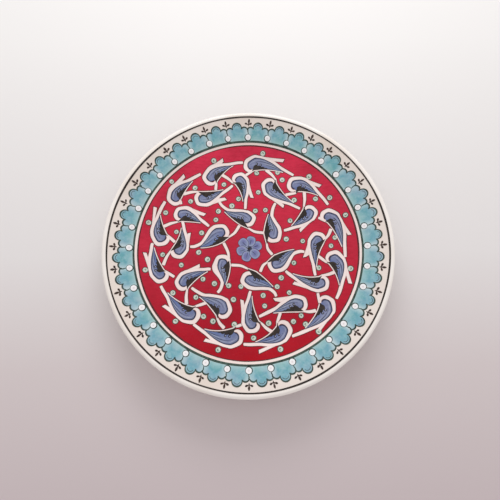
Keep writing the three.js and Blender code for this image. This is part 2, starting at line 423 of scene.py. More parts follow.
def white_glaze_look():
    """White glaze, a little warmer where the cream ring and the petal border leave it bare."""
    look = Look("white_glaze", "white_glaze")
    out = look.math("DIVIDE", look.radius(), OUTER_R * MM)
    zone = look.ramp(out, (0.768, "f9e9e3"), (0.79, "fbeee9"), (0.82, "f0e6df"), (0.952, "f0e6de"),
                     (0.972, "fcf7f2"))
    facing = look.split(look.add("ShaderNodeTexCoord").outputs["Normal"])[2]
    zone = look.mix(look.span(facing, -0.4, 0.4), linear("f7f1ea"), zone)
    cloud = look.ramp(look.noise(22, 3), (0.3, "f6f2ee"), (0.55, "ffffff"), (0.8, "fbf9f8"))
    speck = look.span(look.noise(700, 2, 0.6), 0.74, 0.8)
    colour = look.mix(speck, look.mix(1.0, zone, cloud, "MULTIPLY"), linear("cdbfae"))
    return glazed(look, colour, (0.14, 0.24))


def red_look():
    """Red laid on unevenly in streaks and patches, under a painted reflection: darker towards the lower
    edge, paler and pinker at the top.
    """
    look = Look("red_ground", "red_paint")
    # painted reflection: the red runs from deep at the lower edge (-Y) to pale pink at the top (+Y),
    # standing in for the glaze's sheen
    painted_sheen_rise = look.span(look.split(look.where)[1], -GROUND_R * MM, GROUND_R * MM)
    tone = look.ramp(painted_sheen_rise, (0.0, "b3051b"), (0.5, "cf2d46"), (1.0, "e83757"))
    wash = look.ramp(look.noise(30, 4, 0.6), (0.25, "dcd2d4"), (0.5, "f2f0f0"), (0.75, "ffffff"))
    brush = look.span(look.noise(160, 3, 0.6, stretch=(1.0, 3.2, 1.0)), 0.42, 0.75, 0.0, 0.35)
    colour = look.mix(brush, look.mix(1.0, tone, wash, "MULTIPLY"), linear("9e0d28"))
    grain = look.span(look.noise(900, 2), 0.6, 0.8, 0.0, 0.2)
    return glazed(look, look.mix(grain, colour, linear("d43a55")), (0.2, 0.34),
                  specular=0.14, coat=0.07)


def cream_look():
    look = Look("cream_paint", "cream_paint")
    across = look.paint()[1]
    middle = look.span(look.math("ABSOLUTE", look.math("SUBTRACT", across, 0.5)), 0.28, 0.5)
    body = look.ramp(look.noise(130, 3, 0.6), (0.3, "f5e4df"), (0.6, "fceeea"), (0.8, "f8e7e6"))
    return glazed(look, look.mix(look.math("MULTIPLY", middle, 0.65), body, linear("efc6c0")))


def blue_look():
    look = Look("leaf_blue", "blue_paint")
    along, across, own = look.paint()[:3]
    tone = look.ramp(along, (0.0, "666e95"), (0.35, "767da2"), (0.7, "7f889e"), (1.0, "74858d"))
    streak = look.span(look.noise(240, 4, 0.7), 0.35, 0.7)
    washed = look.mix(look.math("MULTIPLY", streak, 0.5), tone, linear("a3aac4"))
    edge = look.span(look.math("ABSOLUTE", look.math("SUBTRACT", across, 0.5)), 0.3, 0.5, 0.0, 0.5)
    deep = look.span(look.math("ADD", across, look.math("MULTIPLY", own, 0.5)), 0.6, 1.2, 0.0, 0.75)
    varied = look.mix(deep, washed, linear("566ea8"))
    return glazed(look, look.mix(edge, varied, linear("525d80")))


LINE_ROUGHNESS = 0.25            # of colour laid in strokes too fine for the glaze to ripple over


def ink_look(name, slot, dark, light):
    look = Look(name, slot)
    body = look.ramp(look.noise(260, 3, 0.6), (0.35, dark), (0.7, light))
    gloss(look)
    return look.finish(body, LINE_ROUGHNESS)


def turquoise_look():
    look = Look("petal_turquoise", "turquoise_paint")
    along, across = look.paint()[:2]
    tone = look.ramp(across, (0.0, "c3d9d2"), (0.16, "9cc6c6"), (0.45, "5fa2b0"), (0.75, "6fa9ba"),
                     (0.93, "8ba6bc"), (1.0, "a3c2c6"))
    patch = look.ramp(look.noise(75, 3, 0.6), (0.28, "68aea6"), (0.5, "7eb4c3"), (0.74, "b2bcce"))
    mixed = look.mix(0.45, tone, patch)
    side = look.span(look.math("ABSOLUTE", look.math("SUBTRACT", along, 0.5)), 0.26, 0.5, 0.0, 1.3)
    faded = look.mix(look.math("MULTIPLY", side, look.noise(120, 2)), mixed, linear("dbe8ea"))
    streak = look.span(look.noise(260, 3, 0.7), 0.42, 0.72, 0.0, 0.6)
    return glazed(look, look.mix(streak, faded, linear("a9cdd4")))


def violet_look():
    look = Look("flower_violet", "violet_paint")
    across = look.paint()[1]
    tone = look.ramp(across, (0.0, "676a9e"), (0.55, "7679ae"), (0.85, "9196bf"), (1.0, "a2a8c0"))
    streak = look.span(look.noise(260, 3, 0.6), 0.4, 0.75, 0.0, 0.5)
    return glazed(look, look.mix(streak, tone, linear("98aebb")))


def pearl_look():
    look = Look("pearl_enamel", "white_glaze")
    tone = look.ramp(look.paint()[1], (0.0, "e3d5d8"), (0.35, "f1eff1"), (0.6, "fbfbfc"),
                     (1.0, "f3f5f8"))
    gloss(look)
    return look.finish(tone, LINE_ROUGHNESS)


def clay_look():
    look = Look("bare_clay", "clay")
    body = look.ramp(look.noise(180, 4, 0.65), (0.3, "d8c7ad"), (0.6, "e6d9c3"), (0.85, "efe5d3"))
    speck = look.span(look.noise(1400, 2, 0.6), 0.68, 0.76)
    colour = look.mix(speck, body, linear("a58a68"))
    return look.finish(colour, 0.85, look.noise(900, 4, 0.7), 0.5, 0.00012)


LOOKS = {
    "glaze": white_glaze_look(),
    "red": red_look(),
    "cream": cream_look(),
    "blue": blue_look(),
    "black": ink_look("black_ink", "black_line", "1d1612", "3d342e"),
    "outline": ink_look("outline_ink", "black_line", "4a1a1e", "6a262b"),
    "navy": ink_look("navy_ink", "blue_paint", "2b304a", "434a69"),
    "green": ink_look("green_ink", "green_line", "22352f", "4a6258"),
    "turquoise": turquoise_look(),
    "violet": violet_look(),
    "pale": ink_look("pale_blue_ink", "cream_paint", "98a1bc", "b8bfd0"),
    "umber": ink_look("umber_ink", "black_line", "2a1c17", "4c382e"),
    "mint": ink_look("mint_enamel", "mint_paint", "c2cdbf", "dfe4da"),
    "leafgreen": ink_look("green_enamel", "green_line", "54806a", "7aa088"),
    "pearl": pearl_look(),
    "clay": clay_look(),
}


# ---- the turned plate ----
def top_line(depth, from_r, to_r, step):
    """Points on the top between two radii, moved into the wall by depth."""
    r = np.linspace(from_r, to_r, max(2, int(round((to_r - from_r) / step)) + 1))
    tilt = np.clip((r - FILLET_START) / FILLET_R, 0, math.sin(FLANK))
    lean = np.sqrt(1 - tilt ** 2)
    return [(a + depth * t, z - depth * c) for a, z, t, c in zip(r, surface(r), tilt, lean)]


def lip_line(depth):
    """Points round the lip, from its top to where the underside starts."""
    a = math.pi / 2 + FLANK - np.linspace(0, math.pi, 21)
    reach = LIP_R - depth
    return [(LIP[0] + reach * math.cos(x), LIP[1] + reach * math.sin(x)) for x in a]


def underside_z(r, depth):
    """Height of the sloping underside at radius r, moved into the wall by depth."""
    last = lip_line(depth)[-1]
    return last[1] - (last[0] - r) * math.tan(FLANK)


def whole_top(depth):
    flat = top_line(depth, 0, FILLET_START, 4.0)
    fillet = top_line(depth, FILLET_START, FILLET_END, 0.9)[1:]
    flank = top_line(depth, FILLET_END, TANGENT[0], 3.0)[1:-1]
    return flat + fillet + flank + lip_line(depth)


def make_plate():
    root_z = underside_z(FOOT_OUTER_R, 0)
    slope = (FOOT_OUTER_R - FOOT_FACE_R[1] - FOOT_ROUND) / (root_z - FOOT_ROUND)
    bare_r = FOOT_FACE_R[1] + FOOT_ROUND + (BARE_FOOT - FOOT_ROUND) * slope

    outside = whole_top(0)
    outside += [(r, underside_z(r, 0)) for r in np.linspace(UNDER_END, FOOT_OUTER_R + 2.2, 14)]
    outside += [(FOOT_OUTER_R + 0.9, root_z - 0.05), (FOOT_OUTER_R + 0.25, root_z - 0.5),
                (bare_r + 0.45, BARE_FOOT + 0.5), (bare_r + 0.3, BARE_FOOT + 0.1)]
    inside = [(bare_r - 0.3, BARE_FOOT + 0.15), (FOOT_OUTER_R - 0.5, root_z + 0.3)]
    inside += [(r, underside_z(r, GLAZE)) for r in np.linspace(FOOT_OUTER_R + 2, UNDER_END, 10)]
    inside += whole_top(GLAZE)[::-1]
    mesh_piece("glaze_coat", *revolve(outside + inside), LOOKS["glaze"], ["white_glaze"])

    body = [(0, RECESS_Z), (RECESS_R - 1.5, RECESS_Z), (RECESS_R - 0.5, RECESS_Z - 0.3),
            (RECESS_R, RECESS_Z - 1.1)]
    inner = FOOT_FACE_R[0]
    body += [(inner - FOOT_ROUND, FOOT_ROUND + 0.4), (inner - 0.55, 0.32), (inner - 0.2, 0.06),
             (inner + 0.3, FOOT_Z)]
    outer = FOOT_FACE_R[1]
    body += [(outer - 0.3, FOOT_Z), (outer + 0.2, 0.06), (outer + 0.55, 0.32),
             (outer + FOOT_ROUND, FOOT_ROUND), (FOOT_OUTER_R, underside_z(FOOT_OUTER_R, UNDER_GLAZE))]
    body += [(r, underside_z(r, UNDER_GLAZE)) for r in np.linspace(FOOT_OUTER_R + 3, UNDER_END, 8)]
    body += whole_top(UNDER_GLAZE)[::-1]
    mesh_piece("clay_body_turned", *revolve(body), LOOKS["clay"], ["clay_body"])

    ceiling = RECESS_Z - 0.3
    recess = [(0, RECESS_Z + 0.05), (0, ceiling)]
    recess += [(r, ceiling) for r in np.linspace(6, RECESS_R - 2.2, 12)]
    recess += [(RECESS_R - 1.1, RECESS_Z - 0.55), (RECESS_R - 0.45, RECESS_Z - 1.3),
               (RECESS_R + 0.35, BARE_FOOT + 0.5), (RECESS_R + 0.75, BARE_FOOT + 0.2),
               (RECESS_R + 1.3, BARE_FOOT + 0.5), (RECESS_R + 0.4, RECESS_Z - 1.0),
               (RECESS_R - 0.6, RECESS_Z + 0.05)]
    mesh_piece("glaze_recess", *revolve(recess), LOOKS["glaze"])


def ring(name, radii, look, seed, nodes, sway, swell):
    """A line turned on the wheel with a loaded brush, whose edges waver a little."""
    a = full_turn(540)
    middle = wobble(a, seed, sway)
    edges = []
    for r, side in zip(radii, (-1, 1)):
        waver = r + middle + side * wobble(a, seed + 1, swell)
        edges.append(unit(a) * waver[:, None])
    paint = Paint(seed)
    paint.slab(*edges, 2, LEVEL_LINE, closed=True)
    paint.piece(name, LOOKS[look], nodes)


def make_ground():
    a = full_turn(360)
    edge = GROUND_R + wobble(a, 11, 0.1)
    paint = Paint(1)
    paint.slab(unit(a) * 0, unit(a) * edge[:, None], 70, LEVEL_GROUND, closed=True)
    paint.piece("red_ground_coat", LOOKS["red"], ["red_ground"])
    ring("ground_edge_line", GROUND_EDGE, "outline", 12, (), 0.1, 0.16)
    ring("inner_green_line", INNER_LINE, "green", 14, ["inner_line"], 0.08, 0.1)
    ring("outer_black_line", OUTER_LINE, "black", 16, ["outer_line"], 0.1, 0.14)


# ---- the leaves ----
# side: which side the back bulges to (+1 is left of the way from head to tail); head: scale of the
# curled head; back: how high the blade's back stands along its length, as a share of its peak.
KINDS = {
    "inner": dict(side=-1, head=1.0, back=(0.85, 0.98, 1.0, 0.78, 0.42, 0.2, 0.09, 0)),
    "upright": dict(side=1, head=0.95, back=(0.8, 0.95, 1.0, 0.9, 0.68, 0.36, 0.14, 0)),
    "slanting": dict(side=-1, head=1.0, back=(0.8, 0.94, 1.0, 0.86, 0.6, 0.3, 0.12, 0)),
    "outer_left": dict(side=1, head=1.1, back=(0.74, 0.92, 1.0, 0.93, 0.65, 0.28, 0.08, 0)),
    "outer_right": dict(side=1, head=1.0, back=(0.76, 0.92, 1.0, 0.95, 0.72, 0.38, 0.15, 0)),
}
BACK_AT = (0, 0.1, 0.22, 0.38, 0.6, 0.8, 0.92, 1)

# For each leaf: head, tail, end of its stem, and tip of its barb, [x, y] each, in the sector's own
# axes, where the sector's middle is +Y. The painter's hand never put two of them quite alike.
SPOTS = {
    "inner": [
        [(0, 28), (-21, 35), (-25, 43)], [(1.5, 29), (-20, 38), (-23, 45)],
        [(1, 26.5), (-17.5, 34), (-19.5, 42)], [(0, 28.5), (-21, 35), (-23, 42)],
        [(1, 28.5), (-19, 36.5), (-21, 44)], [(1, 26), (-18, 32.5), (-23, 42)]],
    "upright": [
        [(-6, 64.5), (-3.5, 43), (-2, 37), (5, 47)], [(-0.5, 67.5), (0.5, 48), (1, 41), (9, 49)],
        [(4, 63.5), (1, 40), (1.5, 38), (9.5, 44)], [(-1, 66), (-2, 41), (-1, 38), (7, 45)],
        [(-3, 70), (1.5, 44), (2, 38.5), (8.5, 49)], [(1, 64), (2.5, 43), (2.5, 36), (10.5, 47.5)]],
    "slanting": [
        [(20, 57.5), (42, 40.5), (46.5, 36), (32, 37.5)], [(20, 58), (37, 45.5), (44, 41), (30, 39.5)],
        [(29.5, 52.5), (47, 40.5), (51, 37.5), (38.5, 37)], [(22, 52.5), (43, 41), (49, 34)],
        [(21, 61), (39, 45), (47, 37), (28, 40.5)], [(24.5, 56), (45, 41.5), (50, 37.5), (31.5, 37.5)]],
    "outer_left": [
        [(-33, 68), (-12, 79), (-4, 81), (-22, 84)], [(-29, 73), (-11, 84), (1, 86), (-8, 91)],
        [(-24.5, 72), (3, 80), (10, 81.5), (-6, 88)], [(-28, 71.5), (-4, 81), (5, 82), (-7.5, 89)],
        [(-28.5, 71), (-9, 85), (2, 87), (-15, 92)], [(-29, 68), (-9, 80), (2, 82), (-16, 86)]],
    "outer_right": [
        [(4.5, 79), (34, 71), (42, 68), (34, 82)], [(9.5, 81), (31, 75), (39.5, 72), (31, 84)],
        [(19.5, 78), (44, 70.5), (47, 70), (43, 80)], [(13, 77), (39, 69), (47, 65), (38, 78.5)],
        [(10.5, 82), (38, 75.5), (48, 69), (36, 86)], [(12, 77), (42, 71.5), (50, 68.5), (36, 83)]],
}

# For each leaf, mm: height of the back's peak, half width of the border there, depth of the hollow
# side at the head, how it falls away, and the wedge's tip, measured along and across from the head.
SHAPES = {
    "inner": [
        (4.0, 1.2, 8.6, 1.4, -3.5, -9.0), (5.0, 1.75, 8.7, 2.0, -3.0, -8.6),
        (3.9, 2.5, 7.0, 1.7, -1.0, -6.8), (3.8, 1.6, 9.6, 1.4, -4.0, -9.8),
        (4.4, 1.9, 7.7, 1.65, -5.0, -6.9), (4.0, 1.7, 8.7, 1.45, -7.0, -8.2)],
    "upright": [
        (5.0, 1.4, 7.5, 2.3, 2.0, -7.4), (4.8, 1.9, 7.6, 1.15, 0.0, -8.8),
        (5.3, 1.65, 7.5, 1.7, 1.0, -7.6), (5.2, 1.5, 8.2, 1.9, 1.5, -8.8),
        (5.5, 1.5, 7.2, 2.5, 1.5, -7.2), (4.8, 1.1, 7.8, 1.35, 0.6, -8.6)],
    "slanting": [
        (6.7, 1.4, 8.0, 2.1, 1.0, -8.8), (4.8, 1.8, 7.6, 1.3, -1.0, -8.4),
        (5.5, 1.3, 7.5, 1.9, -1.0, -8.0), (6.7, 1.4, 8.8, 1.5, 1.0, -9.4),
        (5.2, 1.65, 7.3, 1.15, -1.5, -7.8), (5.5, 1.5, 7.0, 2.1, -1.0, -7.2)],
    "outer_left": [
        (5.4, 1.9, 8.2, 1.8, 1.5, -8.2), (5.4, 1.5, 7.0, 1.6, 1.5, -7.0),
        (6.8, 1.3, 8.5, 2.4, 2.0, -8.8), (7.3, 1.2, 7.8, 2.6, 2.0, -8.3),
        (6.5, 1.25, 8.2, 2.2, 2.0, -8.2), (6.3, 1.5, 8.2, 2.1, 3.6, -7.8)],
    "outer_right": [
        (7.4, 1.1, 6.8, 2.6, 2.0, -6.4), (5.3, 2.0, 5.8, 1.6, 1.5, -5.4),
        (5.5, 1.35, 5.9, 2.0, 2.0, -5.8), (6.8, 1.25, 10.0, 2.2, 1.5, -9.8),
        (7.8, 1.05, 6.5, 3.0, 3.0, -5.4), (7.2, 1.05, 5.7, 3.2, 3.0, -5.0)],
}

# Where the twigs of each sector start or end, away from the leaf that they serve: from the hollow
# of outer_left and of outer_right, and the loose ends past the wedges of outer_left, outer_right
# and inner.
TWIGS = [
    [(-22, 69), (18, 73), (-28.5, 55.5), (-0.5, 69), (13, 14)],
    [(-18, 75), (16.5, 75), (-26, 60), (7, 73), (14, 17)],
    [(-14, 70), (26, 70.5), (-22, 56), (12, 68), (15, 16)],
    [(-18, 72), (22, 68), (-26, 57), (7.5, 66), (14.5, 14.5)],
    [(-17, 75), (20, 76), (-23.5, 57.5), (6, 71.5), (12.5, 19)],
    [(-18, 70), (23, 71.5), (-25, 55), (8.5, 68.5), (15, 15)],
]

# Dots on the red ground, per sector, in the sector's own axes.
DOTS = [
    [(15, 88.5), (-30, 82.5), (9, 70.5), (28, 70.5), (32, 63.5), (10, 52), (-21, 60), (-8, 46),
     (-14, 39.5), (7, 34.5), (16, 35)],
    [(-22.5, 88), (20, 90), (-7, 80.5), (26, 69.5), (13, 66.5), (-17.5, 63), (-7.5, 43), (9, 38),
     (17, 40)],
    [(-22.5, 85), (29, 86), (0, 75.5), (34, 67), (-31, 63), (-13.5, 60.5), (17.5, 57.5),
     (-3, 47.5), (-11.5, 41), (10, 35.5), (19.5, 39)],
    [(-25, 86.5), (26.5, 86), (-3, 77), (-16, 65), (13, 65.5), (31, 62.5), (-13, 50.5),
     (13.5, 44.5), (-12, 41.5), (7, 33.5), (17.5, 32.5)],
    [(-26.5, 86), (34.5, 86), (34, 74), (29.5, 67.5), (37, 64), (-14.5, 62), (17, 49.5),
     (-8, 41), (9, 37.5), (17.5, 38)],
    [(-28.5, 81.5), (-2, 86.5), (19, 89), (-8, 75.5), (31, 70.5), (35.5, 63.5), (-17, 58.5),
     (-2.5, 45), (19, 44.5), (10, 33)],
]

OUTLINE = 0.6                    # how far the dark outline shows round a cream stroke
HEAD_BORDER = 1.85               # half width of the border round the head
# The wedge's height over the hollow edge, by distance along the leaf from its head.
WEDGE_HEAD = 2.2
WEDGE_END = 22.0
WEDGE_AT = (WEDGE_HEAD, 4.0, 8.0, 12.0, 16.0, WEDGE_END)
WEDGE_HIGH = (4.6, 4.9, 3.0, 1.4, 0.55, 0.3)
LOBE_PITCH = 3.5                 # the scallops along the wedge's inner edge
LOBE_HIGH = 0.8
LOBES_FADE = (12.5, 15.5)        # they die away between these distances from the head
CURL_R = 1.15
# Fine lines along the blade: share of the way from back to hollow, start and end along the blade,
# half width, and whether the line is pale or dark.
VEINS = ((0.17, 0.12, 0.6, 0.22, "pale"), (0.3, 0.28, 0.88, 0.26, "dark"),
         (0.45, 0.42, 0.9, 0.2, "pale"), (0.6, 0.5, 0.96, 0.26, "dark"))


class Leaf:
    """One curled saz leaf: a cream border round a blue blade with a black wedge in its hollow."""

    def __init__(self, kind, sector):
        self.kind = kind
        self.sector = sector
        self.k = KINDS[kind]
        spot = [np.array(p, float) for p in SPOTS[kind][sector]]
        self.head, self.tail, self.stem_end = spot[:3]
        self.barb_tip = spot[3] if len(spot) > 3 else None
        self.peak, self.border, self.depth, self.power, *self.tip = SHAPES[kind][sector]
        way = self.tail - self.head
        self.length = float(np.hypot(*way))
        self.along = way / self.length
        self.across = np.array([-self.along[1], self.along[0]]) * self.k["side"]

    def off(self, u, v):
        """The point u mm along and v mm across from the head."""
        return self.head + u * self.along + v * self.across

    def near_head(self, u, v):
        """The same, in the measure of the leaf's own head."""
        return self.off(u * self.k["head"], v * self.k["head"])

    def at(self, t, v):
        """The point a share t of the way to the tail, and v mm across."""
        return self.off(t * self.length, v)

    def back(self, t):
        """Height of the bulging side."""
        return np.interp(t, BACK_AT, self.k["back"]) * self.peak

    def front(self, t):
        """Height of the hollow side, which lies below the line from head to tail."""
        t = np.clip(t, 0, 1)
        if self.kind == "inner":
            return -self.depth * (1 - t ** self.power)
        return -self.depth * (1 - t) ** self.power

    def apex(self):
        """The wedge's tip, where a twig starts."""
        return self.off(*self.tip)

    def back_edge(self):
        n = self.near_head
        points = [n(0.8, -4.6), n(-1.8, -4.0), n(-3.4, -1.4), n(-3.1, 1.6)]
        points += [self.at(t, self.back(t)) for t in (0.03, 0.13, 0.26, 0.42, 0.6, 0.78, 0.9, 1)]
        return spline(points, 8)

    def front_edge(self):
        n = self.near_head
        points = [n(0.8, -4.6), n(1.4, -4.4)]
        points += [self.at(t, self.front(t) * 0.96) for t in (0.16, 0.28, 0.42, 0.56, 0.7, 0.84, 1)]
        return spline(points, 8)

    def blade(self):
        """Matched edges of the blue fill, from the head's curl to the tail."""
        return resample(self.back_edge(), 48), resample(self.front_edge(), 48)

    def ridge(self, u):
        """Height across the leaf of the wedge's smooth inner edge, u mm from the head."""
        return self.front(u / self.length) + np.interp(u, WEDGE_AT, WEDGE_HIGH)

    def wedge(self):
        """Edges of the black wedge: the leaf's hollow side, and a scalloped edge inside the blade."""
        end = min(WEDGE_END, 0.93 * self.length)
        u = np.linspace(WEDGE_HEAD, end, 56)
        fade = np.clip((LOBES_FADE[1] - u) / (LOBES_FADE[1] - LOBES_FADE[0]), 0, 1)
        lobes = np.abs(np.sin(math.pi * (u - WEDGE_HEAD) / LOBE_PITCH)) * LOBE_HIGH * fade
        ridge = self.ridge(u)
        top = [self.off(a, b + c) for a, b, c in zip(u, ridge, lobes)]
        first = self.off(WEDGE_HEAD, ridge[0])
        rise = [self.apex() * (1 - k) + first * k for k in (0, 0.3, 0.6, 0.85)]
        along = np.linspace(max(3.0, self.tip[0] + 1.5), end, 12)
        hollow = [self.apex()] + [self.off(a, self.front(a / self.length)) for a in along]
        return resample(spline(hollow, 8), 72), resample(np.array(rise + top), 72)

    def curls(self):
        """Small scrolls that stand on the wedge's first lobes: (centre, radius) of each."""
        made = []
        for i in range(2):
            u = WEDGE_HEAD + (i + 0.62) * LOBE_PITCH
            low = self.ridge(u) + LOBE_HIGH
            radius = min(CURL_R, (self.back(u / self.length) - low) * 0.42)
            if radius > 0.6:
                made.append((self.off(u, low + radius * 0.75), radius))
        return made

    def band(self):
        """Centre line and half widths of the cream border, from the tongue round the head."""
        n = self.near_head
        neck = (HEAD_BORDER + self.border) / 2
        path = [(n(2.7, -1.6), 0.25), (n(2.3, -4.2), 0.45), (n(0.9, -6.0), 0.95),
                (n(-1.6, -6.4), 1.5), (n(-4.3, -4.4), HEAD_BORDER), (n(-5.2, -1.0), HEAD_BORDER),
                (n(-4.7, 2.5), HEAD_BORDER)]
        for t, h in ((0.02, neck), (0.14, self.border), (0.28, self.border),
                     (0.46, (self.border + 1.4) / 2), (0.66, 1.4), (0.86, 1.35)):
            path.append((self.at(t, self.back(t) + h), h))
        half_way = (self.at(0.97, 1.3) + self.stem_end) / 2
        if self.kind != "inner":
            half_way = half_way + self.across * 0.4
        path.append((half_way, 1.3))
        path.append((self.stem_end, 1.2))
        line = spline([p for p, _ in path], 8)
        half = spline([(h, 0) for _, h in path], 8)[:, 0]
        return line, half

    def barb(self):
        """Edges of the blunt tongue that leaves the border's back."""
        corner = self.barb_tip + 0.5 * self.along + 0.7 * self.across
        foot = self.barb_tip - 0.4 * self.along - 2.2 * self.across
        crest = self.at(0.16, self.back(0.16) + 2 * self.border - 0.3)
        upper = spline([crest, (crest + corner) / 2 - 0.15 * self.across, corner], 10)
        root = [self.at(t, self.back(t) + rise) for t, rise in ((0.3, 0.6), (0.5, 1.2))]
        lower = spline(root + [foot], 10)
        return resample(upper, 24), resample(lower, 24)

    def front_line(self):
        """The thin cream line along the hollow side."""
        points = [self.apex()] + [self.at(t, self.front(t) - 0.5)
                                  for t in (0.14, 0.28, 0.42, 0.56, 0.7, 0.84, 0.97)]
        line = spline(points, 6)
        half = np.interp(np.linspace(0, 1, len(line)), [0, 0.1, 1], [0.7, 0.48, 0.36])
        return line, half

    def make(self, lights):
        """The leaf's own pieces; the lights in its curls and its pale veins go to lights."""
        node = f"leaf_{self.kind}_{self.sector + 1}"
        self.make_border(node)
        self.make_blade(node, lights)

    def make_border(self, node):
        s = self.sector
        shade, cream = Paint(s), Paint(s + 10)
        for i, (line, half) in enumerate([self.band(), self.front_line()]):
            half = half * uneven(len(half), cream.draw)
            shade.stroke(turned(line, s), half + OUTLINE, LEVEL_SHADE - 0.004 * i)
            cream.stroke(turned(line, s), half, LEVEL_CREAM - 0.012 * i, cross=3)
        if self.barb_tip is not None:
            upper, lower = (turned(edge, s) for edge in self.barb())
            cream.slab(upper, lower, 3, LEVEL_CREAM - 0.02)
            grown = np.linspace(0.2, 1, len(upper))[:, None] * OUTLINE * self.k["side"]
            tip = turned(self.along, s) * OUTLINE
            over, under = upper + normals(upper) * grown, lower - normals(lower) * grown
            shade.slab(np.vstack([over, over[-1] + tip]), np.vstack([under, under[-1] + tip]), 3,
                       LEVEL_SHADE - 0.012)
        shade.piece(node + "_outline", LOOKS["outline"], [node])
        cream.piece(node + "_border", LOOKS["cream"], [node])

    def make_blade(self, node, lights):
        s = self.sector
        back, front = (turned(edge, s) for edge in self.blade())
        blue = Paint(s + 20 + SECTORS * list(KINDS).index(self.kind))
        blue.slab(back, front, 8, LEVEL_FILL)
        blue.piece(node + "_blade", LOOKS["blue"], [node])

        ink = Paint(s + 30)
        hollow, ridge = (turned(edge, s) for edge in self.wedge())
        ink.slab(ridge, hollow, 4, LEVEL_INK)
        for centre, radius in self.curls():
            a = np.linspace(-0.5, 1.2, 18) * math.pi
            reach = radius * np.linspace(1, 0.5, 18)
            curl = (centre + np.outer(reach * np.cos(a), self.along)
                    + np.outer(reach * np.sin(a), self.across))
            ink.stroke(turned(curl, s), np.linspace(0.4, 0.24, 18), LEVEL_INK - 0.02)
            lights.disc(turned(centre, s), radius * 0.38, LEVEL_TOP, 14, 2)
        ink.piece(node + "_wedge", LOOKS["black"], [node])

        lines = Paint(s + 40)
        edge_line = turned(self.back_edge(), s)
        edge_line = edge_line + normals(edge_line) * -0.2 * self.k["side"]
        thick = np.interp(np.linspace(0, 1, len(edge_line)), [0, 0.12, 0.35, 0.7, 1],
                          [0.4, 0.62, 0.5, 0.34, 0.24])
        lines.stroke(edge_line, thick * uneven(len(thick), lines.draw), LEVEL_INK - 0.01)
        count = len(back)
        for share, t0, t1, wide, paint in VEINS:
            a, b = int(t0 * count), int(t1 * count)
            vein = back[a:b] * (1 - share) + front[a:b] * share
            taper = np.interp(np.linspace(0, 1, len(vein)), [0, 0.4, 1], [0.3, 1, 0.5])
            (lights if paint == "pale" else lines).stroke(vein, wide * taper, LEVEL_INK - 0.03)
        lines.piece(node + "_veins", LOOKS["navy"], [node])


def uneven(count, draw):
    """Slow changes of a brush's width along a stroke, as a factor round 1."""
    knots = draw.normal(size=max(3, count // 9)) * 0.05
    return 1 + np.interp(np.linspace(0, 1, count), np.linspace(0, 1, len(knots)), knots)


def twigs(leaves, sector):
    """The cream twigs that join the leaves of one sector, as (points, half widths)."""
    ends = [np.array(p, float) for p in TWIGS[sector]]
    tips = [leaves[k].apex() for k in ("upright", "slanting", "outer_left", "outer_right", "inner")]
    bows = ((0.3, 0.4), (0.5, 0.3), (0.0, 0.3), (0.2, 0.2), (-0.7, -1.0))
    halves = ((0.8, 1.3, 1.5), (0.8, 1.3, 1.5), (0.9, 1.3, 1.3), (0.9, 1.2, 1.2), (0.8, 1.2, 1.3))
    return [([tip, (tip + end) / 2 + np.array(bow), end], half)
            for tip, end, bow, half in zip(tips, ends, bows, halves)]


def make_leaves():
    cream, shade, lights = Paint(50), Paint(51), Paint(52)
    for s in range(SECTORS):
        leaves = {kind: Leaf(kind, s) for kind in KINDS}
        for leaf in leaves.values():
            leaf.make(lights)
        for points, widths in twigs(leaves, s):
            line = turned(spline(points, 8), s)
            half = np.interp(np.linspace(0, 1, len(line)), np.linspace(0, 1, len(widths)), widths)
            shade.stroke(line, half + OUTLINE, LEVEL_SHADE - 0.02)
            cream.stroke(line, half, LEVEL_CREAM - 0.03, cross=3)
    shade.piece("twig_outlines", LOOKS["outline"])
    cream.piece("twigs", LOOKS["cream"])
    lights.piece("curl_lights", LOOKS["pale"])


def make_dots():
    rims, faces, marks = Paint(60), Paint(61), Paint(62)
    draw = np.random.default_rng(7)
    for s, group in enumerate(DOTS):
        for spot in turned(group, s):
            size = DOT_R * draw.uniform(0.92, 1.08)
            rims.disc(spot, size + DOT_RIM, LEVEL_SHADE + 0.01)
            faces.disc(spot, size, LEVEL_CREAM + 0.01, crown=0.08)
            turn = draw.uniform(0, 2 * math.pi)
            a = turn + np.linspace(0, 1.25 * math.pi, 14)
            reach = np.linspace(0.3, 1.0, 14) * size * 0.5
            curl = spot + unit(a) * reach[:, None]
            marks.stroke(curl, np.interp(np.linspace(0, 1, 14), [0, 0.5, 1], [0.44, 0.36, 0.2]),
                         LEVEL_FILL + 0.06)
    rims.piece("dot_rims", LOOKS["green"])
    faces.piece("dots", LOOKS["mint"])
    marks.piece("dot_curls", LOOKS["leafgreen"])


# ---- the centre flower ----
FLOWER_AT = (0.6, -0.1)
FLOWER_TURN = math.radians(15.5)
FLOWER_REACH = 7.3               # from the heart to a petal's middle
FLOWER_PETAL = 4.1               # radius of a petal


